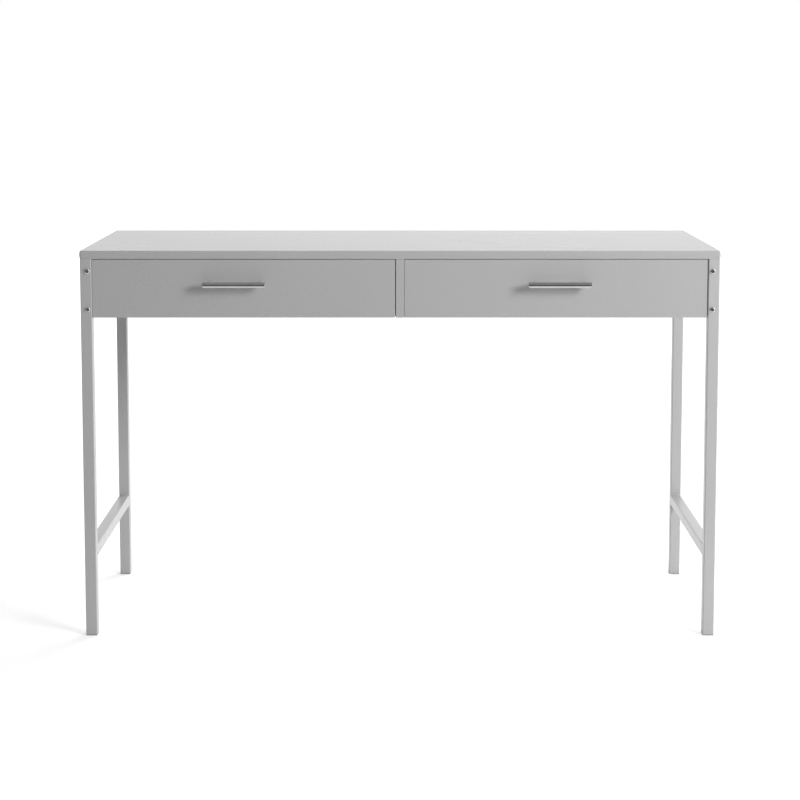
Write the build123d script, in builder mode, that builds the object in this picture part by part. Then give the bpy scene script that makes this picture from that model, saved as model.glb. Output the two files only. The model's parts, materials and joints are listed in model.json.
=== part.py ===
"""Writing desk with two drawers: a square-tube leg frame, a board case under the top,
and two drawers on single-extension ball slides.

Millimetres, +Z up. X runs along the desk's width, the drawers open toward -Y, and the
origin is on the floor under the middle of the outline, handles included.
"""
import os

from build123d import *

os.makedirs("parts", exist_ok=True)

# Overall size
desk_width = 1220
desk_depth = 480
desk_height = 750

# Top
top_thickness = 16
top_edge_bow = 1.2
top_edge_radius = 1
top_corner_radius = 3
top_overhang = 1

# Leg frame
tube = 22
tube_wall = 1.2
tube_corner = 2
stretcher_top = 175
foot_flange = 3
foot_plug_height = 18
foot_plug_wall = 2
foot_plug_corner = 0.5
foot_chamfer = 0.8
weld_leg = 3

# Case boards, and the thin bottom that closes the case
board = 16
case_bottom_z = 621.5
case_bottom_thickness = 3
case_bottom_rebate = 8
case_bottom_screw_ys = (-180, -60, 60, 170)

# Leg bolts and their barrel nuts
bolt_radius = 3
bolt_clearance_radius = 3.3
bolt_length = 50
bolt_head_radius = 5.25
bolt_head_height = 3.2
bolt_crown_radius = 2.6
bolt_socket = 4
bolt_socket_depth = 2
bolt_heights = (637.4, 710.8)
bolt_bore = 32
barrel_nut_radius = 5
barrel_nut_length = 13
barrel_nut_depth = 23
barrel_nut_bore = 13.5

# Cam fittings and dowels
cam_radius = 7.5
cam_length = 12.5
cam_setback = 24
cam_slot = 2
cam_slot_share = 1.4
cam_seat_clearance = 0.1
cam_bolt_radius = 2.5
cam_bolt_head_radius = 3.5
cam_bolt_head_length = 3
cam_bolt_in = 11
dowel_radius = 4
dowel_in_top = 10
dowel_in_board = 20
dowel_chamfer = 0.8
side_cam_ys = (-150, 60)
side_dowel_ys = (-100, 130)
back_cam_xs = (-420, -140, 140, 420)
back_dowel_xs = (-280, 280)
divider_cam_ys = (-160, 80)
divider_dowel_ys = (-60, 140)
end_cam_zs = (653, 694)
divider_end_cam_zs = (640, 712)

# Ball slides, measured from the wall they are screwed to
slide_height = 27
slide_thickness = 10
slide_sheet = 1.2
slide_front = -216
slide_length = 400
slide_middle_z = 668
slide_mouth = 8.6
case_rail_corner = 1.8
case_rail_inner_corner = 0.6
case_rail_lip = 2.2
drawer_rail_near = 3.6
drawer_rail_height = 16.8
drawer_rail_length = 398
stop_width = 6
stop_reach = 1.8
stop_gap = 0.5
slide_travel = 300
ball_radius = 1.5
ball_hole_radius = 1.55
ball_from_wall = 5.6
ball_from_middle = 10.35
ball_pitch = 12
balls_per_row = 7
cage_length = 94
cage_sheet = 0.5
cage_near = 1.8
cage_far = 7.2
cage_clearance = 0.4

# Countersunk screws, flush with the sheet or board they hold
screw_radius = 1.8
screw_head_radius = 3
screw_head_length = 1.2
screw_tip_chamfer = 1.2
screw_cross = 3
screw_cross_width = 0.8
screw_cross_depth = 0.7
case_screw_length = 8
case_screw_bore = 7.5
drawer_screw_length = 11
back_screw_length = 36
back_screw_heights = (22, 64)
slide_screw_places = (40, 200, 360)

# Drawers
front_thickness = 16
front_left_gap = 0.4
front_right_gap = 1.4
front_top_gap = 1
front_recess = 2
front_edge_radius = 0.8
front_height = 111.5
drawer_board = 12
drawer_side_bottom = 630
drawer_side_height = 86
drawer_box_length = 400
drawer_bottom_z = 640
drawer_bottom_thickness = 3
drawer_groove = 6
drawer_edge_radius = 1
drawer_cam_radius = 6
drawer_cam_length = 9
drawer_cam_below_top = 14
drawer_dowel_above_bottom = 24

# Handles
handle_radius = 5.6
handle_length = 120
handle_standoff = 30
handle_post_radius = 4
handle_post_spacing = 96
handle_height = 686.8
handle_edge = 0.8
handle_places = {"left": -314.7, "right": 303.3}
handle_screw_radius = 2
handle_screw_clearance_radius = 2.3
handle_screw_in_post = 11
handle_post_bore = 12
handle_screw_head_radius = 4
handle_screw_head_height = 2.4
handle_screw_crown = 1.2
handle_screw_cross = 4
handle_screw_cross_width = 0.9

# Worked-out places
top_underside = desk_height - top_thickness
leg_x = desk_width / 2 - top_overhang - tube / 2
leg_y = desk_depth / 2 - top_overhang - tube / 2
leg_front = -leg_y - tube / 2
leg_inside_x = leg_x - tube / 2
between_legs_y = leg_y - tube / 2
side_inner_x = leg_inside_x
side_outer_x = side_inner_x + board
side_x = side_inner_x + board / 2
back_front_y = between_legs_y - board
front_face_y = leg_front + front_recess
front_back_y = front_face_y + front_thickness
tube_bore = tube - 2 * tube_wall
tube_bore_corner = tube_corner - tube_wall
cam_z = top_underside - cam_setback
front_bottom = top_underside - front_top_gap - front_height
divider_x = board / 2
bay_middle_x = (divider_x + leg_inside_x) / 2
front_width = leg_inside_x - divider_x - front_left_gap - front_right_gap
front_shift = (front_left_gap - front_right_gap) / 2
drawer_cam_z = drawer_side_bottom + drawer_side_height - drawer_cam_below_top
drawer_dowel_z = drawer_side_bottom + drawer_dowel_above_bottom
drawer_outer_x = side_inner_x - slide_thickness
drawer_inner_x = divider_x + slide_thickness
drawer_middle_x = (drawer_outer_x + drawer_inner_x) / 2
drawer_rear_y = front_back_y + drawer_box_length
drawer_bottom_width = drawer_outer_x - drawer_inner_x - 2 * (drawer_board - drawer_groove)
slide_rear = slide_front + slide_length
case_bottom_edge_x = side_inner_x + case_bottom_rebate
case_bottom_top_z = case_bottom_z + case_bottom_thickness
case_bottom_side_x = side_inner_x + case_bottom_rebate / 2
case_bottom_screw_xs = (-case_bottom_side_x, 0, case_bottom_side_x)
sides = {"left": -1, "right": 1}

# The origin is under the middle of the whole outline, from the handles' fronts to the rear
# bolt heads. Everything below is drawn about the top's middle and moved back by this much.
handle_front_y = front_face_y - handle_standoff
rear_bolt_y = leg_y + tube / 2 + bolt_head_height
desk_shift_y = -(handle_front_y + rear_bolt_y) / 2


def save(part, name):
    """Move a finished piece to its place about the origin, label it and write its STEP file."""
    placed = part.moved(Location((0, desk_shift_y, 0)))
    placed.label = name
    export_step(placed, f"parts/{name}.step")


def along_x(x, y, z, direction=1):
    """A plane at a point whose normal runs along X."""
    return Plane(origin=(x, y, z), x_dir=(0, 1, 0), z_dir=(direction, 0, 0))


def along_y(x, y, z, direction=1):
    """A plane at a point whose normal runs along Y."""
    return Plane(origin=(x, y, z), x_dir=(1, 0, 0), z_dir=(0, direction, 0))


def along_z(x, y, z, direction=1):
    """A plane at a point whose normal runs along Z."""
    return Plane(origin=(x, y, z), x_dir=(1, 0, 0), z_dir=(0, 0, direction))


def drill(planes, radius, depth):
    """Cut round holes into the current part, each along its plane's normal."""
    with BuildSketch(*planes) as holes:
        Circle(radius)
    extrude(holes.sketch, amount=depth, mode=Mode.SUBTRACT)


def cut_box(low, high):
    """Cut the space between two corners out of the current part."""
    with BuildSketch(Plane.XY.offset(low[2])) as space:
        with Locations(((low[0] + high[0]) / 2, (low[1] + high[1]) / 2)):
            Rectangle(high[0] - low[0], high[1] - low[1])
    extrude(space.sketch, amount=high[2] - low[2], mode=Mode.SUBTRACT)


def board_part(low, high, drillings, rebate=None):
    """A flat board between two corners, drilled for its fittings.

    drillings is a list of (planes, radius, depth); rebate is the corners of a space cut away.
    """
    with BuildPart() as panel:
        with BuildSketch(Plane.XY.offset(low[2])):
            with Locations(((low[0] + high[0]) / 2, (low[1] + high[1]) / 2)):
                Rectangle(high[0] - low[0], high[1] - low[1])
        extrude(amount=high[2] - low[2])
        if rebate:
            cut_box(*rebate)
        for planes, radius, depth in drillings:
            drill(planes, radius, depth)
    return panel.part


# ---------------------------------------------------------------- fittings' places
def leg_bolt_planes():
    """Every leg bolt's plane: on the leg's outer face, pointing into the case."""
    planes = []
    for side in sides.values():
        for end in (-1, 1):
            for z in bolt_heights:
                planes.append(along_y(side * side_x, end * (leg_y + tube / 2), z, -end))
    return planes


def barrel_nut_planes(side):
    """Barrel nuts of one case side, each starting on the board's inner face."""
    planes = []
    for end in (-1, 1):
        for z in bolt_heights:
            y = end * (between_legs_y - barrel_nut_depth)
            planes.append(along_x(side * side_inner_x, y, z, side))
    return planes


def top_cam_places():
    """(x, y) of each cam bolt that hangs from the top's underside."""
    places = [(side * side_x, y) for side in sides.values() for y in side_cam_ys]
    places += [(x, between_legs_y - board / 2) for x in back_cam_xs]
    places += [(0, y) for y in divider_cam_ys]
    return places


def top_dowel_places():
    """(x, y) of each dowel between the top and the case."""
    places = [(side * side_x, y) for side in sides.values() for y in side_dowel_ys]
    places += [(x, between_legs_y - board / 2) for x in back_dowel_xs]
    places += [(0, y) for y in divider_dowel_ys]
    return places


def upright_cam_planes():
    """Cams that pull on the top: on the boards' inner faces, pointing into the board."""
    planes = []
    for side in sides.values():
        planes += [along_x(side * side_inner_x, y, cam_z, side) for y in side_cam_ys]
    planes += [along_y(x, back_front_y, cam_z) for x in back_cam_xs]
    planes += [along_x(divider_x, y, cam_z, -1) for y in divider_cam_ys]
    return planes


def back_end_cam_planes():
    """Cams in the back board that pull on the case sides."""
    x = side_inner_x - cam_setback
    return [along_y(side * x, back_front_y, z) for side in sides.values() for z in end_cam_zs]


def divider_end_cam_planes():
    """Cams in the divider that pull on the back board."""
    return [along_x(divider_x, back_front_y - cam_setback, z, -1) for z in divider_end_cam_zs]


def back_end_bolt_planes():
    """Seats on the case sides' inner faces for the bolts into the back board."""
    y = between_legs_y - board / 2
    return [along_x(side * side_inner_x, y, z, -side) for side in sides.values() for z in end_cam_zs]


def divider_end_bolt_planes():
    """Seats on the back board's front face for the bolts into the divider."""
    return [along_y(0, back_front_y, z, -1) for z in divider_end_cam_zs]


def case_bottom_screw_places(x):
    """(x, y) of the case bottom's screws along one board."""
    return [(x, y) for y in case_bottom_screw_ys]


def case_bottom_screw_planes():
    """Every case bottom screw's plane: on the panel's underside, pointing up."""
    places = []
    for x in case_bottom_screw_xs:
        places += case_bottom_screw_places(x)
    return [along_z(x, y, case_bottom_z) for x, y in places]


def top_bolt_planes():
    """Seats on the top's underside, pointing down."""
    return [along_z(x, y, top_underside, -1) for x, y in top_cam_places()]


def flipped(plane):
    """The same plane looking the other way."""
    return Plane(origin=plane.origin, x_dir=plane.x_dir, z_dir=-plane.z_dir)


# ---------------------------------------------------------------- repeated fittings
def cams(groups, radius, length, seat_depth):
    """Cam locks as separate solids: (plane, toward) pairs, slotted on the face side.

    toward is the direction from each cam to the bolt it grips, seat_depth below its face.
    """
    planes = [plane for plane, toward in groups]
    with BuildPart() as locks:
        with BuildSketch(*planes):
            Circle(radius)
        extrude(amount=length)
        with BuildSketch(*planes):
            Rectangle(radius * cam_slot_share, cam_slot)
            Rectangle(cam_slot, radius * cam_slot_share)
        extrude(amount=cam_slot, mode=Mode.SUBTRACT)
        for plane, toward in groups:
            seat = plane.origin + plane.z_dir * seat_depth
            with BuildSketch(Plane(origin=seat, z_dir=toward)):
                Circle(cam_bolt_head_radius + cam_seat_clearance)
            extrude(amount=radius + 1, mode=Mode.SUBTRACT)
    return locks.part


def cam_bolts(planes, reach):
    """Cam bolts: a screwed end behind each plane, a shaft and a round head before it."""
    with BuildPart() as bolts:
        with BuildSketch(*[flipped(plane) for plane in planes]):
            Circle(cam_bolt_radius)
        extrude(amount=cam_bolt_in)
        with BuildSketch(*planes):
            Circle(cam_bolt_radius)
        extrude(amount=reach)
        with BuildSketch(*[plane.offset(reach - cam_bolt_head_length) for plane in planes]):
            Circle(cam_bolt_head_radius)
        extrude(amount=cam_bolt_head_length)
    return bolts.part


def dowels(planes, behind, before):
    """Dowels with eased ends that reach both ways from each plane."""
    with BuildPart() as pins:
        with BuildSketch(*[plane.offset(-behind) for plane in planes]):
            Circle(dowel_radius)
        extrude(amount=behind + before)
        chamfer(pins.edges().filter_by(GeomType.CIRCLE), dowel_chamfer)
    return pins.part


def flush_screws(planes, length):
    """Countersunk screws: the flat head's top lies in each plane, the point beyond it."""
    with BuildPart() as screws:
        with BuildSketch(*planes):
            Circle(screw_head_radius)
        extrude(amount=screw_head_length, taper=45)
        with BuildSketch(*[plane.offset(screw_head_length / 2) for plane in planes]):
            Circle(screw_radius)
        extrude(amount=length - screw_head_length / 2)
        tips = screws.faces().filter_by(GeomType.PLANE).group_by(SortBy.AREA)[0]
        chamfer(tips.edges(), screw_tip_chamfer)
        with BuildSketch(*planes):
            Rectangle(screw_cross, screw_cross_width)
            Rectangle(screw_cross_width, screw_cross)
        extrude(amount=screw_cross_depth, mode=Mode.SUBTRACT)
    return screws.part


# ---------------------------------------------------------------- top and leg frame
def bowed_outline(length):
    """The top's cross-section, as lines: flat above and below, its two ends bowed out a little."""
    end = length / 2 - top_edge_bow
    middle_z = desk_height - top_thickness / 2
    with BuildLine() as outline:
        Line((-end, top_underside), (end, top_underside))
        ThreePointArc((end, top_underside), (length / 2, middle_z), (end, desk_height))
        Line((end, desk_height), (-end, desk_height))
        ThreePointArc((-end, desk_height), (-length / 2, middle_z), (-end, top_underside))
    return outline.line


def desktop():
    """The top: one board with softly bowed edges, bored below for bolts and dowels."""
    with BuildPart() as top:
        with BuildSketch(Plane.YZ) as across:
            make_face(bowed_outline(desk_depth))
        extrude(amount=desk_width / 2, both=True)
        with BuildSketch(Plane.XZ) as along:
            make_face(bowed_outline(desk_width))
        extrude(amount=desk_depth / 2, both=True, mode=Mode.INTERSECT)
        flats = top.faces().filter_by(Axis.Z)
        corners = top.edges() - flats.edges()
        fillet(corners, top_corner_radius)
        fillet(top.faces().filter_by(Axis.Z).edges(), top_edge_radius)
        drill([flipped(plane) for plane in top_bolt_planes()], cam_bolt_radius, cam_bolt_in)
        drill([along_z(x, y, top_underside) for x, y in top_dowel_places()], dowel_radius, dowel_in_top)
    return top.part


def leg(side, y):
    """One square tube leg, bored right through for its two bolts."""
    x = side * leg_x
    with BuildPart() as post:
        with BuildSketch(Plane.XY.offset(foot_flange)):
            with Locations((x, y)):
                RectangleRounded(tube, tube, tube_corner)
                RectangleRounded(tube_bore, tube_bore, tube_bore_corner, mode=Mode.SUBTRACT)
        extrude(amount=top_underside - foot_flange)
        drill([along_y(side * side_x, y - tube / 2, z) for z in bolt_heights], bolt_clearance_radius, tube)
    return post.part


def stretcher(side):
    """The low square tube between a front and a rear leg, butted against both."""
    with BuildPart() as rail:
        with BuildSketch(Plane.XZ.offset(-between_legs_y)):
            with Locations((side * leg_x, stretcher_top - tube / 2)):
                RectangleRounded(tube, tube, tube_corner)
                RectangleRounded(tube_bore, tube_bore, tube_bore_corner, mode=Mode.SUBTRACT)
        extrude(amount=2 * between_legs_y)
    return rail.part


def stretcher_welds():
    """Fillet welds: a small triangular bead over and under each end of a stretcher."""
    bead = tube - 2 * tube_corner
    with BuildPart() as welds:
        for side in sides.values():
            for end in (-1, 1):
                for up, z in ((1, stretcher_top), (-1, stretcher_top - tube)):
                    y = end * between_legs_y
                    with BuildSketch(Plane.YZ.offset(side * leg_x)):
                        with BuildLine():
                            Polyline((y, z), (y - end * weld_leg, z), (y, z + up * weld_leg), close=True)
                        make_face()
                    extrude(amount=bead / 2, both=True)
    return welds.part


def foot_glides():
    """Four plastic leg ends: a flange under the tube and a plug inside it."""
    plug_hole = tube_bore - 2 * foot_plug_wall
    with BuildPart() as feet:
        with BuildSketch():
            with GridLocations(2 * leg_x, 2 * leg_y, 2, 2):
                RectangleRounded(tube, tube, tube_corner)
        extrude(amount=foot_flange)
        chamfer(feet.faces().sort_by(Axis.Z)[:4].edges(), foot_chamfer)
        with BuildSketch(Plane.XY.offset(foot_flange)):
            with GridLocations(2 * leg_x, 2 * leg_y, 2, 2):
                RectangleRounded(tube_bore, tube_bore, tube_bore_corner)
                RectangleRounded(plug_hole, plug_hole, foot_plug_corner, mode=Mode.SUBTRACT)
        extrude(amount=foot_plug_height)
    return feet.part


def leg_bolts():
    """Eight button-head bolts, two through each leg into the case sides."""
    planes = leg_bolt_planes()
    with BuildPart() as bolts:
        with BuildSketch(*planes):
            Circle(bolt_radius)
        extrude(amount=bolt_length)
        with BuildSketch(*planes):
            Circle(bolt_head_radius)
        extrude(amount=-bolt_head_height)
        for plane in planes:
            crown = plane.offset(-bolt_head_height)
            rims = bolts.edges().filter_by(GeomType.CIRCLE)
            rim = rims.sort_by(lambda edge: (edge.arc_center - crown.origin).length)[0]
            fillet(rim, bolt_crown_radius)
        with BuildSketch(*[plane.offset(-bolt_head_height) for plane in planes]):
            RegularPolygon(bolt_socket / 2, 6, major_radius=False)
        extrude(amount=bolt_socket_depth, mode=Mode.SUBTRACT)
    return bolts.part


def barrel_nuts():
    """Cross nuts in the case sides, each threaded across for its bolt."""
    with BuildPart() as nuts:
        for side in sides.values():
            with BuildSketch(*barrel_nut_planes(side)):
                Circle(barrel_nut_radius)
            extrude(amount=barrel_nut_length)
        drill([plane.offset(tube) for plane in leg_bolt_planes()], bolt_radius, bolt_length)
    return nuts.part


# ---------------------------------------------------------------- case
def slide_screw_planes(wall_x, direction):
    """Screw places on a rail's sheet: wall_x is the sheet's free face."""
    return [along_x(wall_x, slide_front + place, slide_middle_z, direction) for place in slide_screw_places]


def case_side(side):
    """A case side between a front and a rear leg, rebated below for the case bottom."""
    bolt_bores = []
    for end in (-1, 1):
        bolt_bores += [along_y(side * side_x, end * between_legs_y, z, -end) for z in bolt_heights]
    bottom_screws = case_bottom_screw_places(side * case_bottom_side_x)
    dowel_planes = [along_z(side * side_x, y, top_underside, -1) for y in side_dowel_ys]
    low_x, high_x = sorted((side * side_inner_x, side * side_outer_x))
    drillings = [
        (bolt_bores, bolt_clearance_radius, bolt_bore),
        (barrel_nut_planes(side), barrel_nut_radius, barrel_nut_bore),
        ([along_x(side * side_inner_x, y, cam_z, side) for y in side_cam_ys], cam_radius, cam_length),
        ([along_z(side * side_x, y, top_underside, -1) for y in side_cam_ys], dowel_radius, cam_setback),
        (dowel_planes, dowel_radius, dowel_in_board),
        ([along_x(side * side_inner_x, between_legs_y - board / 2, z, side) for z in end_cam_zs],
         cam_bolt_radius, cam_bolt_in),
        (slide_screw_planes(side * side_inner_x, side), screw_radius, case_screw_bore),
        ([along_z(x, y, case_bottom_z) for x, y in bottom_screws], screw_radius, case_screw_length),
    ]
    low = (low_x, -between_legs_y, case_bottom_z)
    high = (high_x, between_legs_y, top_underside)
    return board_part(low, high, drillings, case_bottom_corners())


def back_panel():
    """The case's back board, between the two sides."""
    y = between_legs_y - board / 2
    drillings = [
        ([along_y(x, back_front_y, cam_z) for x in back_cam_xs], cam_radius, cam_length),
        ([along_z(x, y, top_underside, -1) for x in back_cam_xs], dowel_radius, cam_setback),
        ([along_z(x, y, top_underside, -1) for x in back_dowel_xs], dowel_radius, dowel_in_board),
        (back_end_cam_planes(), cam_radius, cam_length),
        (back_end_bolt_planes(), dowel_radius, cam_setback),
        ([flipped(plane) for plane in divider_end_bolt_planes()], cam_bolt_radius, cam_bolt_in),
    ]
    low = (-side_inner_x, back_front_y, case_bottom_z)
    high = (side_inner_x, between_legs_y, top_underside)
    return board_part(low, high, drillings)


def centre_divider():
    """The upright between the drawers, notched below for the case bottom."""
    bottom_screws = case_bottom_screw_places(0)
    drillings = [
        ([along_x(divider_x, y, cam_z, -1) for y in divider_cam_ys], cam_radius, cam_length),
        ([along_z(0, y, top_underside, -1) for y in divider_cam_ys], dowel_radius, cam_setback),
        ([along_z(0, y, top_underside, -1) for y in divider_dowel_ys], dowel_radius, dowel_in_board),
        (divider_end_cam_planes(), cam_radius, cam_length),
        (divider_end_bolt_planes(), dowel_radius, cam_setback),
        (slide_screw_planes(-divider_x, 1), screw_radius, case_screw_bore),
        (slide_screw_planes(divider_x, -1), screw_radius, case_screw_bore),
        ([along_z(x, y, case_bottom_z) for x, y in bottom_screws], screw_radius, case_screw_length),
    ]
    with BuildPart() as upright:
        with BuildSketch(Plane.XY.offset(case_bottom_z)):
            with Locations((0, (front_face_y + back_front_y) / 2)):
                Rectangle(board, back_front_y - front_face_y)
        extrude(amount=top_underside - case_bottom_z)
        cut_box(*case_bottom_corners())
        fillet(upright.faces().sort_by(Axis.Y)[0].edges().filter_by(Axis.Z), front_edge_radius)
        for planes, radius, depth in drillings:
            drill(planes, radius, depth)
    return upright.part


def case_bottom_corners():
    """The low and the high corner of the case bottom."""
    low = (-case_bottom_edge_x, -between_legs_y, case_bottom_z)
    high = (case_bottom_edge_x, back_front_y, case_bottom_top_z)
    return low, high


def case_bottom():
    """The thin panel under both drawers, let in flush and screwed up into the boards."""
    low, high = case_bottom_corners()
    with BuildPart() as panel:
        with BuildSketch(Plane.XY.offset(low[2])):
            with Locations(((low[0] + high[0]) / 2, (low[1] + high[1]) / 2)):
                Rectangle(high[0] - low[0], high[1] - low[1])
        extrude(amount=case_bottom_thickness)
        with Locations(*[flipped(plane) for plane in case_bottom_screw_planes()]):
            CounterSinkHole(screw_radius, screw_head_radius, case_bottom_thickness)
    return panel.part


def case_cams():
    """All cam locks of the case."""
    up = Vector(0, 0, 1)
    groups = [(plane, up) for plane in upright_cam_planes()]
    groups += [(plane, Vector(1 if plane.origin.X > 0 else -1, 0, 0)) for plane in back_end_cam_planes()]
    groups += [(plane, Vector(0, 1, 0)) for plane in divider_end_cam_planes()]
    return cams(groups, cam_radius, cam_length, board / 2)


def case_cam_bolts():
    """All cam bolts of the case."""
    return cam_bolts(top_bolt_planes() + back_end_bolt_planes() + divider_end_bolt_planes(), cam_setback)


def case_dowels():
    """The dowels that line the top up with the case."""
    planes = [along_z(x, y, top_underside) for x, y in top_dowel_places()]
    return dowels(planes, dowel_in_board, dowel_in_top)


# ---------------------------------------------------------------- ball slides
def case_rail(wall_x, direction):
    """The slide's outer rail: a lipped channel screwed to the wall, with a front lug."""
    inside_width = slide_mouth - 2 * slide_sheet
    inside_height = slide_height - 2 * slide_sheet
    middle_x = wall_x + direction * slide_mouth / 2
    stop_x = wall_x + direction * (slide_sheet + stop_reach / 2)
    with BuildPart() as rail:
        with BuildSketch(Plane.XZ.offset(-slide_rear)):
            with Locations((middle_x, slide_middle_z)):
                RectangleRounded(slide_mouth, slide_height, case_rail_corner)
                RectangleRounded(inside_width, inside_height, case_rail_inner_corner, mode=Mode.SUBTRACT)
            with Locations((wall_x + direction * slide_mouth, slide_middle_z)):
                Rectangle(3 * slide_sheet, slide_height - 2 * case_rail_lip, mode=Mode.SUBTRACT)
        extrude(amount=slide_length)
        with BuildSketch(Plane.XZ.offset(-slide_front - slide_sheet)):
            with Locations((stop_x, slide_middle_z)):
                Rectangle(stop_reach, stop_width)
        extrude(amount=slide_sheet)
        with Locations(*slide_screw_planes(wall_x + direction * slide_sheet, direction)):
            CounterSinkHole(screw_radius, screw_head_radius, slide_sheet)
    return rail.part


def drawer_rail(wall_x, direction):
    """The slide's inner rail: a channel screwed to the drawer, with a rear lug."""
    width = slide_thickness - drawer_rail_near
    middle_x = wall_x + direction * (drawer_rail_near + slide_thickness) / 2
    stop_far = slide_thickness - stop_gap
    stop_x = wall_x + direction * (cage_near + stop_far) / 2
    rear_plane = Plane.XZ.offset(-slide_front - drawer_rail_length)
    with BuildPart() as rail:
        with BuildSketch(rear_plane):
            with Locations((middle_x, slide_middle_z)):
                Rectangle(width, drawer_rail_height)
            with Locations((middle_x - direction * slide_sheet, slide_middle_z)):
                Rectangle(width, drawer_rail_height - 2 * slide_sheet, mode=Mode.SUBTRACT)
        extrude(amount=drawer_rail_length)
        with BuildSketch(rear_plane):
            with Locations((stop_x, slide_middle_z)):
                Rectangle(stop_far - cage_near, stop_width)
        extrude(amount=slide_sheet)
        web = wall_x + direction * (slide_thickness - slide_sheet)
        with Locations(*slide_screw_planes(web, -direction)):
            CounterSinkHole(screw_radius, screw_head_radius, slide_sheet)
    return rail.part


def cage_front():
    """The cage's front end with the drawer shut: half the travel behind its open place."""
    open_front = slide_front + slide_sheet + cage_clearance
    return open_front + slide_travel / 2


def ball_planes(wall_x, direction):
    """Centres of a slide's balls, in the upper and the lower row."""
    first = cage_front() + (cage_length - (balls_per_row - 1) * ball_pitch) / 2
    x = wall_x + direction * ball_from_wall
    rows = (slide_middle_z - ball_from_middle, slide_middle_z + ball_from_middle)
    return [along_z(x, first + step * ball_pitch, z) for z in rows for step in range(balls_per_row)]


def ball_cage(wall_x, direction):
    """The bent strip that keeps the balls apart."""
    holes = [plane.offset(-cage_sheet) for plane in ball_planes(wall_x, direction)]
    with BuildPart() as cage:
        with BuildSketch(Plane.XZ.offset(-cage_front() - cage_length)):
            with Locations((wall_x + direction * (cage_near + cage_sheet / 2), slide_middle_z)):
                Rectangle(cage_sheet, 2 * ball_from_middle + cage_sheet)
            for z in (slide_middle_z - ball_from_middle, slide_middle_z + ball_from_middle):
                with Locations((wall_x + direction * (cage_near + cage_far) / 2, z)):
                    Rectangle(cage_far - cage_near, cage_sheet)
        extrude(amount=cage_length)
        drill(holes, ball_hole_radius, 2 * cage_sheet)
    return cage.part


def slide_balls(wall_x, direction):
    """The balls of one slide, as separate solids."""
    with BuildPart() as balls:
        with Locations(*ball_planes(wall_x, direction)):
            Sphere(ball_radius)
    return balls.part


# ---------------------------------------------------------------- drawers
def drawer_wall_x(side, wall):
    """The outer and the inner end of a drawer side's thickness, outer wall or inner wall."""
    if wall == "outer":
        return side * drawer_outer_x, side * (drawer_outer_x - drawer_board)
    return side * drawer_inner_x, side * (drawer_inner_x + drawer_board)


def drawer_front(side, handle_x):
    """The drawer's front board, drilled for its handle, cams, dowels and bottom."""
    groove_z = drawer_bottom_z + drawer_bottom_thickness / 2
    posts = [along_y(x, front_face_y, handle_height) for x in handle_post_xs(handle_x)]
    cam_planes = [flipped(plane) for plane in drawer_front_planes(side, drawer_cam_z)]
    dowel_planes = [flipped(plane) for plane in drawer_front_planes(side, drawer_dowel_z)]
    with BuildPart() as front:
        with BuildSketch(Plane.XZ.offset(-front_back_y)):
            with Locations((side * bay_middle_x + front_shift, front_bottom + front_height / 2)):
                Rectangle(front_width, front_height)
        extrude(amount=front_thickness)
        fillet(front.faces().sort_by(Axis.Y)[0].edges(), front_edge_radius)
        drill(posts, handle_screw_clearance_radius, front_thickness)
        drill(cam_planes, cam_bolt_radius, cam_bolt_in)
        drill(dowel_planes, dowel_radius, dowel_in_top)
        with BuildSketch(Plane.XZ.offset(-front_back_y)):
            with Locations((side * drawer_middle_x, groove_z)):
                Rectangle(drawer_bottom_width, drawer_bottom_thickness)
        extrude(amount=drawer_groove, mode=Mode.SUBTRACT)
    return front.part


def drawer_side(side, wall):
    """A drawer side, grooved for the bottom, bored for its cam, dowel and screws."""
    outside, inside = drawer_wall_x(side, wall)
    into = 1 if inside > outside else -1
    middle = (outside + inside) / 2
    with BuildPart() as panel:
        with BuildSketch(Plane.XY.offset(drawer_side_bottom)):
            with Locations((middle, (front_back_y + drawer_rear_y) / 2)):
                Rectangle(drawer_board, drawer_box_length)
        extrude(amount=drawer_side_height)
        fillet(panel.faces().sort_by(Axis.Z)[-1].edges().filter_by(Axis.Y), drawer_edge_radius)
        with BuildSketch(Plane.XZ.offset(-drawer_rear_y)):
            with Locations((inside, drawer_bottom_z + drawer_bottom_thickness / 2)):
                Rectangle(2 * drawer_groove, drawer_bottom_thickness)
        extrude(amount=drawer_box_length, mode=Mode.SUBTRACT)
        cam = along_x(inside, front_back_y + cam_setback, drawer_cam_z, -into)
        drill([cam], drawer_cam_radius, drawer_cam_length)
        drill([along_y(middle, front_back_y, drawer_cam_z)], dowel_radius, cam_setback)
        drill([along_y(middle, front_back_y, drawer_dowel_z)], dowel_radius, dowel_in_board)
        drill(slide_screw_planes(outside, into), screw_radius, drawer_screw_length - slide_sheet)
        drill(back_screw_planes(side, wall), screw_radius, drawer_board)
        drill(back_screw_planes(side, wall), screw_head_radius, screw_head_length)
    return panel.part


def back_screw_planes(side, wall):
    """Two screws through a drawer side into the end of the drawer's back."""
    outside, inside = drawer_wall_x(side, wall)
    into = 1 if inside > outside else -1
    y = drawer_rear_y - drawer_board / 2
    return [along_x(outside, y, drawer_side_bottom + height, into) for height in back_screw_heights]


def drawer_back(side):
    """The drawer's back board, resting on the bottom, between the sides."""
    width = drawer_outer_x - drawer_inner_x - 2 * drawer_board
    low_z = drawer_bottom_z + drawer_bottom_thickness
    with BuildPart() as panel:
        with BuildSketch(Plane.XY.offset(low_z)):
            with Locations((side * drawer_middle_x, drawer_rear_y - drawer_board / 2)):
                Rectangle(width, drawer_board)
        extrude(amount=drawer_side_bottom + drawer_side_height - low_z)
        fillet(panel.faces().sort_by(Axis.Z)[-1].edges().filter_by(Axis.X), drawer_edge_radius)
        for wall in ("outer", "inner"):
            drill(back_screw_planes(side, wall), screw_radius, back_screw_length)
    return panel.part


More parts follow.
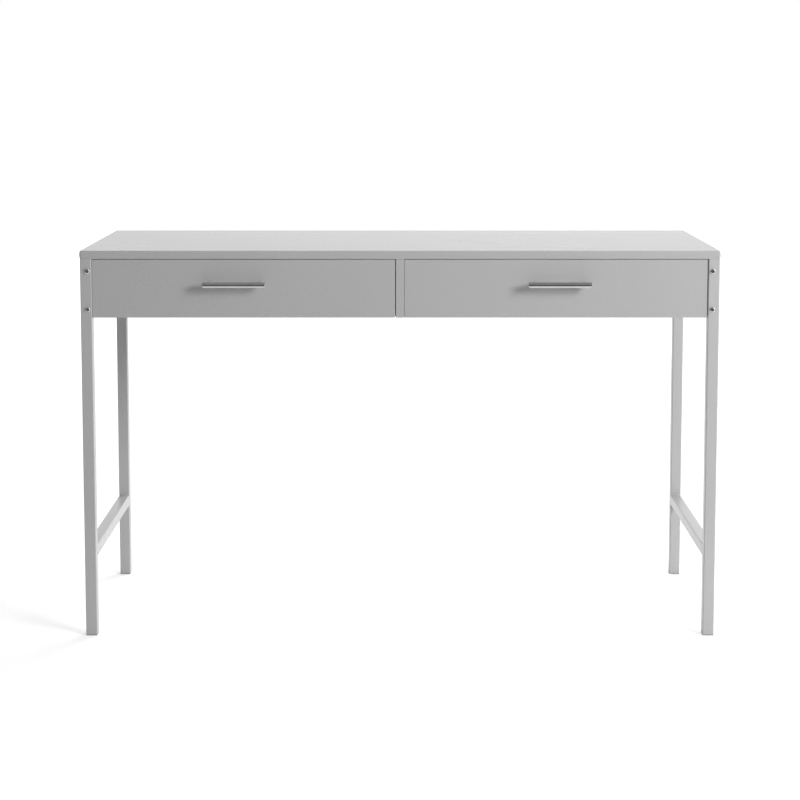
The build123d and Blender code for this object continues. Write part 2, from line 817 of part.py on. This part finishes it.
def drawer_bottom(side):
    """The thin bottom, let into the front's and the sides' grooves."""
    low_y = front_back_y - drawer_groove
    with BuildPart() as panel:
        with BuildSketch(Plane.XY.offset(drawer_bottom_z)):
            with Locations((side * drawer_middle_x, (low_y + drawer_rear_y) / 2)):
                Rectangle(drawer_bottom_width, drawer_rear_y - low_y)
        extrude(amount=drawer_bottom_thickness)
    return panel.part


def drawer_cams(side):
    """The two cams that hold the drawer's front."""
    groups = []
    for wall in ("outer", "inner"):
        outside, inside = drawer_wall_x(side, wall)
        into = 1 if inside > outside else -1
        plane = along_x(inside, front_back_y + cam_setback, drawer_cam_z, -into)
        groups.append((plane, Vector(0, -1, 0)))
    return cams(groups, drawer_cam_radius, drawer_cam_length, drawer_board / 2)


def drawer_front_planes(side, z):
    """Places on the front's back face in line with both drawer sides."""
    wall_xs = [sum(drawer_wall_x(side, wall)) / 2 for wall in ("outer", "inner")]
    return [along_y(x, front_back_y, z) for x in wall_xs]


def back_screws(side):
    """Four screws that hold the drawer's back."""
    planes = back_screw_planes(side, "outer") + back_screw_planes(side, "inner")
    return flush_screws(planes, back_screw_length)


def handle_post_xs(handle_x):
    """The two posts' places along the bar."""
    return [handle_x + end * handle_post_spacing / 2 for end in (-1, 1)]


def handle(handle_x):
    """A round bar on two welded posts, each post tapped for a screw."""
    bar_y = handle_front_y + handle_radius
    with BuildPart() as pull:
        with BuildSketch(Plane.YZ.offset(handle_x)):
            with Locations((bar_y, handle_height)):
                Circle(handle_radius)
        extrude(amount=handle_length / 2, both=True)
        chamfer(pull.edges().filter_by(GeomType.CIRCLE), handle_edge)
        posts = [along_y(x, front_face_y, handle_height, -1) for x in handle_post_xs(handle_x)]
        with BuildSketch(*posts):
            Circle(handle_post_radius)
        extrude(amount=front_face_y - bar_y)
        drill(posts, handle_screw_radius, handle_post_bore)
    return pull.part


def handle_screws(handle_x):
    """The two pan-head screws that hold a handle from inside the drawer."""
    planes = [along_y(x, front_back_y, handle_height, -1) for x in handle_post_xs(handle_x)]
    with BuildPart() as screws:
        with BuildSketch(*planes):
            Circle(handle_screw_radius)
        extrude(amount=front_thickness + handle_screw_in_post)
        with BuildSketch(*planes):
            Circle(handle_screw_head_radius)
        extrude(amount=-handle_screw_head_height)
        tops = screws.faces().filter_by(GeomType.PLANE).sort_by(Axis.Y)[-2:]
        fillet(tops.edges(), handle_screw_crown)
        with BuildSketch(*[plane.offset(-handle_screw_head_height) for plane in planes]):
            Rectangle(handle_screw_cross, handle_screw_cross_width)
            Rectangle(handle_screw_cross_width, handle_screw_cross)
        extrude(amount=handle_screw_head_height / 2, mode=Mode.SUBTRACT)
    return screws.part


# ---------------------------------------------------------------- build every piece
save(desktop(), "desktop")
save(foot_glides(), "foot_glides")
save(stretcher_welds(), "stretcher_welds")
save(leg_bolts(), "leg_bolts")
save(barrel_nuts(), "barrel_nuts")
save(back_panel(), "case_back")
save(centre_divider(), "centre_divider")
save(case_bottom(), "case_bottom")
save(case_cams(), "case_cams")
save(case_cam_bolts(), "case_cam_bolts")
save(case_dowels(), "case_dowels")

case_screws = case_bottom_screw_planes()
for side_name, side in sides.items():
    save(leg(side, -leg_y), f"{side_name}_front_leg")
    save(leg(side, leg_y), f"{side_name}_rear_leg")
    save(stretcher(side), f"{side_name}_stretcher")
    save(case_side(side), f"{side_name}_case_side")

    # A drawer's outer wall is the one beside the legs, its inner wall is by the divider.
    walls = {"outer": (side * side_inner_x, -side), "inner": (side * divider_x, side)}
    drawer_screws = []
    for wall, (wall_x, direction) in walls.items():
        save(case_rail(wall_x, direction), f"{side_name}_{wall}_case_rail")
        save(drawer_rail(wall_x, direction), f"{side_name}_{wall}_drawer_rail")
        save(ball_cage(wall_x, direction), f"{side_name}_{wall}_ball_cage")
        save(slide_balls(wall_x, direction), f"{side_name}_{wall}_balls")
        save(drawer_side(side, wall), f"{side_name}_drawer_{wall}_side")
        case_screws += slide_screw_planes(wall_x + direction * slide_sheet, -direction)
        drawer_screws += slide_screw_planes(wall_x + direction * (slide_thickness - slide_sheet), direction)

    handle_x = handle_places[side_name]
    save(drawer_front(side, handle_x), f"{side_name}_drawer_front")
    save(drawer_back(side), f"{side_name}_drawer_back")
    save(drawer_bottom(side), f"{side_name}_drawer_bottom")
    save(drawer_cams(side), f"{side_name}_drawer_cams")
    save(cam_bolts(drawer_front_planes(side, drawer_cam_z), cam_setback), f"{side_name}_drawer_cam_bolts")
    save(
        dowels(drawer_front_planes(side, drawer_dowel_z), dowel_in_top, dowel_in_board),
        f"{side_name}_drawer_dowels",
    )
    save(back_screws(side), f"{side_name}_drawer_back_screws")
    save(flush_screws(drawer_screws, drawer_screw_length), f"{side_name}_drawer_slide_screws")
    save(handle(handle_x), f"{side_name}_handle")
    save(handle_screws(handle_x), f"{side_name}_handle_screws")

save(flush_screws(case_screws, case_screw_length), "case_screws")
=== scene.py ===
"""Looks of the writing desk: paint, metal and board finishes, weld beads, studio and camera.

Metres, in the frame of the CAD: +Z up, the drawers open toward -Y.
"""
import json
import math

import bmesh
import bpy
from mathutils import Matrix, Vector

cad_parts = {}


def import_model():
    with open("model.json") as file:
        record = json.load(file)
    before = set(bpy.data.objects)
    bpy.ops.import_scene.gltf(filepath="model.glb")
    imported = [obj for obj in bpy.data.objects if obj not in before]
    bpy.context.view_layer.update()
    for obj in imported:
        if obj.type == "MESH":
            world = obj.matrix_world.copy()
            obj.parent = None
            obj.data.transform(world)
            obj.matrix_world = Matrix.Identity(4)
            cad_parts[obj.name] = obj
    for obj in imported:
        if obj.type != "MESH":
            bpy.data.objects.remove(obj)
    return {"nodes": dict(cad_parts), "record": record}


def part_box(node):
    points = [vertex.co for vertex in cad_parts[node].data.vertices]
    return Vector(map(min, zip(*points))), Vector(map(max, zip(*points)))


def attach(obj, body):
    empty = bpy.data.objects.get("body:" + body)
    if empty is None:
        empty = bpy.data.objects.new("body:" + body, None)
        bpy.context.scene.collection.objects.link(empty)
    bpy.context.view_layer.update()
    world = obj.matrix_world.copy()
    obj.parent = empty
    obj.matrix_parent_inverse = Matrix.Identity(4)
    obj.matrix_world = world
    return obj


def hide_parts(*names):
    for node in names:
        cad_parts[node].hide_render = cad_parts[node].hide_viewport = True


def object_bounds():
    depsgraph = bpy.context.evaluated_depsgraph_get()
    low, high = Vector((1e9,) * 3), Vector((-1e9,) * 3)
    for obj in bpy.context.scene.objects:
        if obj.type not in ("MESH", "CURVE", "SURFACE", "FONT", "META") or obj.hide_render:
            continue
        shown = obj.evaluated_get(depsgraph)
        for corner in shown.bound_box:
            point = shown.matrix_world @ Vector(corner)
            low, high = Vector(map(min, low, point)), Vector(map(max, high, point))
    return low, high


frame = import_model()
cad_low, cad_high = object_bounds()
nodes = frame["nodes"]
scene = bpy.context.scene

MM = 0.001

# Tones, as linear reflectance
PAINT_GREY = 0.44
COAT_GREY = 0.46
INNER_BOARD_GREY = 0.52
BOTTOM_GREY = 0.46
FOOT_GREY = 0.36
HANDLE_STEEL = 0.62
BOLT_STEEL = 0.80
ZINC = 0.60
STRIP_STEEL = 0.52
CAST_ZINC = 0.40
BEECH = (0.52, 0.36, 0.21)


# ------------------------------------------------------------------ camera
def set_camera():
    """The camera, in front of the desk's middle and tipped down a little."""
    distance = 3.839
    height = 1.0855
    pitch_degrees = 6.063
    data = bpy.data.cameras.new("camera")
    data.sensor_width = 36
    data.lens = 85.94
    data.shift_y = -0.155
    camera = bpy.data.objects.new("camera", data)
    scene.collection.objects.link(camera)
    camera.location = (0, -distance, height)
    camera.rotation_euler = (math.radians(90 - pitch_degrees), 0, 0)
    scene.camera = camera


# ------------------------------------------------------------------ node helpers
def math_node(tree, operation, a, b):
    """The result of a math node on two values, each a socket or a number."""
    node = tree.nodes.new("ShaderNodeMath")
    node.operation = operation
    for socket, value in zip(node.inputs, (a, b)):
        if isinstance(value, (int, float)):
            socket.default_value = value
        else:
            tree.links.new(value, socket)
    return node.outputs["Value"]


def range_node(tree, value, start, end, low, high, interpolation="LINEAR"):
    """value from start to end mapped to low and high, and held level beyond them."""
    node = tree.nodes.new("ShaderNodeMapRange")
    node.interpolation_type = interpolation
    for name, number in zip(("From Min", "From Max", "To Min", "To Max"), (start, end, low, high)):
        node.inputs[name].default_value = number
    tree.links.new(value, node.inputs["Value"])
    return node.outputs["Result"]


class Finish:
    """One node material, with short calls for the patterns that the finishes share."""

    def __init__(self, name, metallic=0.0, coat=0.0, coat_roughness=0.1, ior=1.5):
        self.material = bpy.data.materials.new(name)
        self.material.use_nodes = True
        self.tree = self.material.node_tree
        self.shader = self.tree.nodes["Principled BSDF"]
        self.shader.inputs["Metallic"].default_value = metallic
        self.shader.inputs["IOR"].default_value = ior
        self.shader.inputs["Coat Weight"].default_value = coat
        self.shader.inputs["Coat Roughness"].default_value = coat_roughness
        self.place = self.tree.nodes.new("ShaderNodeTexCoord").outputs["Object"]

    def stretched(self, scale):
        """Object coordinates scaled by (x, y, z), for patterns that run one way."""
        node = self.tree.nodes.new("ShaderNodeMapping")
        node.inputs["Scale"].default_value = scale
        self.tree.links.new(self.place, node.inputs["Vector"])
        return node.outputs["Vector"]

    def noise(self, scale, detail=2.0, roughness=0.5, place=None):
        """Noise with its features 1 / scale metres apart."""
        node = self.tree.nodes.new("ShaderNodeTexNoise")
        node.inputs["Scale"].default_value = scale
        node.inputs["Detail"].default_value = detail
        node.inputs["Roughness"].default_value = roughness
        self.tree.links.new(place or self.place, node.inputs["Vector"])
        return node.outputs["Fac"]

    def cells(self, scale):
        """Voronoi cells, each with its own random grey."""
        node = self.tree.nodes.new("ShaderNodeTexVoronoi")
        node.inputs["Scale"].default_value = scale
        self.tree.links.new(self.place, node.inputs["Vector"])
        split = self.tree.nodes.new("ShaderNodeSeparateColor")
        self.tree.links.new(node.outputs["Color"], split.inputs["Color"])
        return split.outputs[0]

    def spread(self, value, low, high, start=0.3, end=0.7):
        """value between start and end mapped to low and high; noise lies mostly in 0.3 to 0.7."""
        return range_node(self.tree, value, start, end, low, high)

    def colour(self, tint, *factors):
        """Base colour: a tint times the product of the factors."""
        product = factors[0]
        for factor in factors[1:]:
            product = math_node(self.tree, "MULTIPLY", product, factor)
        join = self.tree.nodes.new("ShaderNodeCombineColor")
        for socket, part in zip(join.inputs, tint):
            self.tree.links.new(math_node(self.tree, "MULTIPLY", product, part), socket)
        self.tree.links.new(join.outputs["Color"], self.shader.inputs["Base Color"])

    def roughness(self, *layers):
        """Roughness: the sum of the layers."""
        total = layers[0]
        for layer in layers[1:]:
            total = math_node(self.tree, "ADD", total, layer)
        self.tree.links.new(total, self.shader.inputs["Roughness"])

    def bump(self, *layers):
        """Bump layers: (height socket, height in metres), the finest last."""
        normal = None
        for height, distance in layers:
            node = self.tree.nodes.new("ShaderNodeBump")
            node.inputs["Distance"].default_value = distance
            self.tree.links.new(height, node.inputs["Height"])
            if normal:
                self.tree.links.new(normal, node.inputs["Normal"])
            normal = node.outputs["Normal"]
        self.tree.links.new(normal, self.shader.inputs["Normal"])

    def edge(self, radius):
        """1 within radius of an edge, 0 on flats: where the finish gets rubbed."""
        flat_cosine = 0.99
        edge_cosine = 0.80
        bevel = self.tree.nodes.new("ShaderNodeBevel")
        bevel.inputs["Radius"].default_value = radius
        bevel.samples = 4
        surface = self.tree.nodes.new("ShaderNodeNewGeometry")
        dot = self.tree.nodes.new("ShaderNodeVectorMath")
        dot.operation = "DOT_PRODUCT"
        self.tree.links.new(bevel.outputs["Normal"], dot.inputs[0])
        self.tree.links.new(surface.outputs["Normal"], dot.inputs[1])
        return self.spread(dot.outputs["Value"], 1.0, 0.0, edge_cosine, flat_cosine)


# ------------------------------------------------------------------ finishes
def grey(tone):
    """The same tone in red, green and blue."""
    return (tone, tone, tone)


def paint(name, tone, roughness, peel_scale, peel_height, grain_scale, grain_height):
    """A sprayed grey finish: slow drift, fine speckle, orange peel, edges rubbed a little."""
    edge_radius = 1.2 * MM
    finish = Finish(name, coat=0.35, coat_roughness=0.2)
    drift = finish.spread(finish.noise(2.5, 3), 0.985, 1.015)
    speckle = finish.spread(finish.noise(grain_scale, 2, 0.7), 0.982, 1.018)
    rub = finish.edge(edge_radius)
    finish.colour(grey(tone), drift, speckle, finish.spread(rub, 1.0, 1.04, 0, 1))
    smears = finish.spread(finish.noise(5, 3, 0.5), roughness - 0.015, roughness + 0.015)
    fine = finish.spread(finish.noise(grain_scale / 3), -0.02, 0.02)
    polish = finish.spread(rub, 0.0, -0.05, 0, 1)
    finish.roughness(smears, fine, polish)
    finish.bump((finish.noise(peel_scale, 1.5), peel_height), (finish.noise(grain_scale, 3), grain_height))
    return finish.material


def brushed_metal(name, tone, roughness, lines):
    """Metal with fine lines along one axis; lines is the (x, y, z) scale of the pattern."""
    finish = Finish(name, metallic=1.0)
    grain = finish.noise(1, 4, 0.7, finish.stretched(lines))
    patches = finish.spread(finish.noise(40, 3), 0.95, 1.05)
    finish.colour(grey(tone), finish.spread(grain, 0.94, 1.06), patches)
    streaks = finish.spread(grain, roughness - 0.05, roughness + 0.06)
    marks = finish.spread(finish.noise(120, 4, 0.65), -0.02, 0.03)
    finish.roughness(streaks, marks)
    finish.bump((grain, 0.006 * MM))
    return finish.material


def bright_plate(name, tone, roughness):
    """Plated fastener metal: almost a mirror, with faint handling haze."""
    finish = Finish(name, metallic=1.0)
    haze = finish.noise(300, 4, 0.6)
    finish.colour(grey(tone), finish.spread(haze, 0.96, 1.03))
    finish.roughness(finish.spread(haze, roughness - 0.03, roughness + 0.05))
    finish.bump((finish.noise(900, 2), 0.004 * MM))
    return finish.material


def zinc_sheet():
    """Rolled zinc-plated sheet: small spangle, rolling lines along the rail."""
    finish = Finish("zinc_sheet", metallic=1.0)
    spangle = finish.cells(700)
    rolled = finish.noise(1, 3, 0.6, finish.stretched((900, 25, 900)))
    bluish = (ZINC, ZINC * 1.01, ZINC * 1.03)
    finish.colour(bluish, finish.spread(spangle, 0.93, 1.05, 0, 1), finish.spread(rolled, 0.95, 1.05))
    finish.roughness(finish.spread(spangle, 0.26, 0.36, 0, 1), finish.spread(rolled, -0.03, 0.04))
    finish.bump((rolled, 0.01 * MM))
    return finish.material


def foil_board(name, tone, roughness):
    """Grey printed foil on board, with its fine pressed grain along the depth."""
    finish = Finish(name)
    grain = finish.noise(1, 4, 0.65, finish.stretched((500, 14, 500)))
    drift = finish.spread(finish.noise(3, 2), 0.98, 1.02)
    warm = (tone, tone * 0.995, tone * 0.985)
    finish.colour(warm, drift, finish.spread(grain, 0.955, 1.045))
    finish.roughness(finish.spread(grain, roughness - 0.04, roughness + 0.05))
    finish.bump((grain, 0.03 * MM), (finish.noise(1500, 2), 0.01 * MM))
    return finish.material


def moulded_plastic():
    """Grey moulded foot plastic with a spark-eroded texture, scuffed lighter at its edges."""
    finish = Finish("moulded_plastic")
    texture = finish.noise(1800, 3, 0.6)
    scuff = finish.edge(0.8 * MM)
    finish.colour(grey(FOOT_GREY), finish.spread(texture, 0.92, 1.08), finish.spread(scuff, 1.0, 1.08, 0, 1))
    finish.roughness(finish.spread(texture, 0.42, 0.55))
    finish.bump((texture, 0.02 * MM))
    return finish.material


def cast_zinc():
    """Die-cast cam metal: dull, slightly pitted."""
    finish = Finish("cast_zinc", metallic=1.0)
    pits = finish.noise(900, 4, 0.7)
    finish.colour(grey(CAST_ZINC), finish.spread(pits, 0.88, 1.1))
    finish.roughness(finish.spread(pits, 0.38, 0.55))
    finish.bump((pits, 0.03 * MM))
    return finish.material


def beech_dowel():
    """Turned beech: fine fibres and short dark flecks along the pin."""
    finish = Finish("beech_dowel")
    fibre = finish.noise(1, 4, 0.6, finish.stretched((2500, 2500, 120)))
    finish.colour(BEECH, finish.spread(fibre, 0.8, 1.12))
    finish.roughness(finish.spread(fibre, 0.55, 0.7))
    finish.bump((fibre, 0.05 * MM))
    return finish.material


def dress_nodes():
    """Gives every CAD node the finish of its material slot, and returns the finishes by slot."""
    lacquer = paint(
        "lacquered_board", PAINT_GREY, roughness=0.29,
        peel_scale=380, peel_height=0.015 * MM, grain_scale=1100, grain_height=0.004 * MM,
    )
    powder_coat = paint(
        "powder_coat", COAT_GREY, roughness=0.34,
        peel_scale=520, peel_height=0.035 * MM, grain_scale=1600, grain_height=0.010 * MM,
    )
    finishes = {
        "painted_board": lacquer,
        "coated_steel": powder_coat,
        "foot_plastic": moulded_plastic(),
        "bolt_chrome": bright_plate("bright_bolt", BOLT_STEEL, 0.14),
        "handle_steel": brushed_metal("brushed_handle", HANDLE_STEEL, 0.20, (60, 2600, 2600)),
        "drawer_board": foil_board("foil_board", INNER_BOARD_GREY, 0.42),
        "drawer_bottom_board": foil_board("hardboard", BOTTOM_GREY, 0.50),
        "slide_zinc": zinc_sheet(),
        "cage_steel": brushed_metal("pressed_strip", STRIP_STEEL, 0.30, (1500, 60, 1500)),
        "ball_steel": bright_plate("ball_steel", BOLT_STEEL, 0.08),
        "beech": beech_dowel(),
        "cam_zinc": cast_zinc(),
        "fastener_zinc": bright_plate("zinc_screw", ZINC, 0.26),
    }
    for entry in frame["record"]["subparts"]:
        mesh = nodes[entry["node"]].data
        mesh.materials.clear()
        mesh.materials.append(finishes[entry["material_slot"]])
    return finishes


# ------------------------------------------------------------------ weld beads
def bead_ring(along, length):
    """Where one ring of a bead runs, as (reach, rise) from the corner that the bead fills.

    along is the ring's place on the bead, from 0 to 1. The bead is hollowed a little, rippled
    along its length, and tapers off at both ends.
    """
    bead_leg = 3.2 * MM
    ripple = 0.35 * MM
    ripple_pitch = 2.2 * MM
    hollow = 0.22
    taper_share = 1 / 6
    least_taper = 0.05
    arc_steps = 7
    wave = ripple * abs(math.sin(math.pi * along * length / ripple_pitch))
    taper = min(1.0, along / taper_share, (1 - along) / taper_share) ** 0.5
    size = (bead_leg - wave) * max(taper, least_taper)
    ring = []
    for step in range(arc_steps + 1):
        turn = step / arc_steps
        flat = size * (1 - hollow * math.sin(math.pi * turn))
        ring.append((flat * (1 - turn), flat * turn))
    return ring


def weld_beads(material):
    """Rippled fillet welds, painted over, above and below each end of both stretchers."""
    rings = 44
    end_gap = 2.4 * MM
    mesh = bmesh.new()
    for side in ("left", "right"):
        low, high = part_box(f"{side}_stretcher")
        start = low[0] + end_gap
        length = high[0] - low[0] - 2 * end_gap
        for y, away in ((low[1], 1), (high[1], -1)):
            for z, up in ((low[2], -1), (high[2], 1)):
                previous = None
                for step in range(rings + 1):
                    along = step / rings
                    x = start + along * length
                    ring = [mesh.verts.new((x, y + away * reach, z + up * rise))
                            for reach, rise in bead_ring(along, length)]
                    if previous:
                        for a, b, c, d in zip(previous, previous[1:], ring[1:], ring):
                            mesh.faces.new((a, b, c, d)).smooth = True
                    previous = ring
    bmesh.ops.recalc_face_normals(mesh, faces=mesh.faces)
    data = bpy.data.meshes.new("weld_beads")
    mesh.to_mesh(data)
    mesh.free()
    data.materials.append(material)
    beads = bpy.data.objects.new("weld_beads", data)
    scene.collection.objects.link(beads)
    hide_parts("stretcher_welds")
    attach(beads, "desk_frame")


# ------------------------------------------------------------------ studio
class Studio:
    """The node tree of a stage material or world, with short calls for its ramps and sums."""

    def __init__(self, tree):
        self.tree = tree
        self.rays = tree.nodes.new("ShaderNodeLightPath").outputs

    def ramp(self, value, start, end, low, high):
        """value from start to end mapped smoothly to low and high."""
        return range_node(self.tree, value, start, end, low, high, "SMOOTHSTEP")

    def times(self, a, b):
        """a times b, each a socket or a number."""
        return math_node(self.tree, "MULTIPLY", a, b)

    def plus(self, a, b):
        """a plus b, each a socket or a number."""
        return math_node(self.tree, "ADD", a, b)

    def choose(self, factor, a, b):
        """Shader a where factor is 0, shader b where it is 1."""
        mix = self.tree.nodes.new("ShaderNodeMixShader")
        self.tree.links.new(factor, mix.inputs[0])
        self.tree.links.new(a, mix.inputs[1])
        self.tree.links.new(b, mix.inputs[2])
        return mix.outputs["Shader"]


def floor():
    """A white studio floor, lit just hard enough near the desk to be white except in shadow.

    Its glow doesn't light the desk, gloss sees it weaker, and gloss sees it end in the dark room
    in front of the set.
    """
    size = 60
    tone = 0.75
    near_glow, far_glow = 0.45, 1.0
    near_radius, far_radius = 1.2, 4.0
    share_in_gloss = 0.6
    room_glow = 0.10
    room_starts_y, room_full_y = -0.65, -1.35
    bpy.ops.mesh.primitive_plane_add(size=size, location=(0, 0, cad_low[2]))
    plane = bpy.context.object
    plane.name = "floor"
    material = bpy.data.materials.new("floor")
    material.use_nodes = True
    tree = material.node_tree
    studio = Studio(tree)
    in_gloss = studio.rays["Is Glossy Ray"]
    shader = tree.nodes["Principled BSDF"]
    shader.inputs["Base Color"].default_value = (*grey(tone), 1)
    shader.inputs["Roughness"].default_value = 0.9
    shader.inputs["Specular IOR Level"].default_value = 0.1
    shader.inputs["Emission Color"].default_value = (1, 1, 1, 1)

    place = tree.nodes.new("ShaderNodeTexCoord").outputs["Object"]
    radius = tree.nodes.new("ShaderNodeVectorMath")
    radius.operation = "LENGTH"
    tree.links.new(place, radius.inputs[0])
    glow = studio.ramp(radius.outputs["Value"], near_radius, far_radius, near_glow, far_glow)
    unlit_share = math_node(tree, "SUBTRACT", 1.0, studio.rays["Is Diffuse Ray"])
    lost_share = studio.times(in_gloss, 1 - share_in_gloss)
    share = math_node(tree, "SUBTRACT", unlit_share, lost_share)
    tree.links.new(studio.times(glow, share), shader.inputs["Emission Strength"])

    split = tree.nodes.new("ShaderNodeSeparateXYZ")
    tree.links.new(place, split.inputs["Vector"])
    front = studio.ramp(split.outputs["Y"], room_starts_y, room_full_y, 0.0, 1.0)
    room = tree.nodes.new("ShaderNodeEmission")
    room.inputs["Strength"].default_value = room_glow
    surface = studio.choose(studio.times(front, in_gloss), shader.outputs["BSDF"], room.outputs["Emission"])
    tree.links.new(surface, tree.nodes["Material Output"].inputs["Surface"])
    plane.data.materials.append(material)


def world():
    """A studio that is white behind, dim overhead and dark in front; gloss sees it white to the right.

    The camera sees plain white. x, y and z are the direction that a ray leaves in.
    """
    back_white = 0.81
    right_glow = 0.16
    right_gloss = 1.4
    over_glow = 0.19
    base_glow = 0.12
    sky = bpy.data.worlds.new("studio")
    sky.use_nodes = True
    scene.world = sky
    tree = sky.node_tree
    tree.nodes.clear()
    studio = Studio(tree)

    direction = tree.nodes.new("ShaderNodeTexCoord").outputs["Generated"]
    split = tree.nodes.new("ShaderNodeSeparateXYZ")
    tree.links.new(direction, split.inputs["Vector"])
    x, y, z = split.outputs
    back_below_top = studio.ramp(z, 0.35, 0.85, 1.0, 0.0)
    back = studio.times(studio.ramp(y, 0.1, 0.8, 0.0, back_white), back_below_top)
    in_gloss = studio.rays["Is Glossy Ray"]
    right_strength = studio.plus(studio.times(in_gloss, right_gloss - right_glow), right_glow)
    right_fading_up = studio.ramp(z, 0.75, 1.0, 1.0, 0.4)
    right = studio.times(studio.times(studio.ramp(x, 0.2, 0.9, 0.0, 1.0), right_fading_up), right_strength)
    over = studio.ramp(z, 0.1, 0.6, 0.0, over_glow)
    glow = studio.plus(studio.plus(math_node(tree, "MAXIMUM", back, right), over), base_glow)

    lit = tree.nodes.new("ShaderNodeBackground")
    tree.links.new(glow, lit.inputs["Strength"])
    white = tree.nodes.new("ShaderNodeBackground")
    for node in (lit, white):
        node.inputs["Color"].default_value = (1, 1, 1, 1)
    seen = studio.rays["Is Camera Ray"]
    surface = studio.choose(seen, lit.outputs["Background"], white.outputs["Background"])
    output = tree.nodes.new("ShaderNodeOutputWorld")
    tree.links.new(surface, output.inputs["Surface"])


def area_light(name, place, aim, size, power):
    """A square softbox at place, pointing at aim, which neither the camera nor gloss sees."""
    data = bpy.data.lights.new(name, "AREA")
    data.size = size
    data.energy = power
    light = bpy.data.objects.new(name, data)
    light.location = place
    light.rotation_euler = (Vector(aim) - Vector(place)).to_track_quat("-Z", "Y").to_euler()
    light.visible_camera = False
    light.visible_glossy = False
    scene.collection.objects.link(light)


set_camera()
finishes = dress_nodes()
weld_beads(finishes["coated_steel"])
floor()
world()
area_light("key", (2.7, -2.6, 1.85), aim=(0.1, 0, 0.6), size=1.4, power=108)
area_light("side", (2.8, -0.3, 1.0), aim=(0.1, 0, 0.5), size=1.6, power=20)
area_light("top", (0.6, 0.6, 3.0), aim=(0, 0, 0.7), size=2.0, power=8)
area_light("rear", (0.5, 1.7, 1.7), aim=(0, 0.1, 0.7), size=1.2, power=26)
scene.view_settings.view_transform = "Standard"
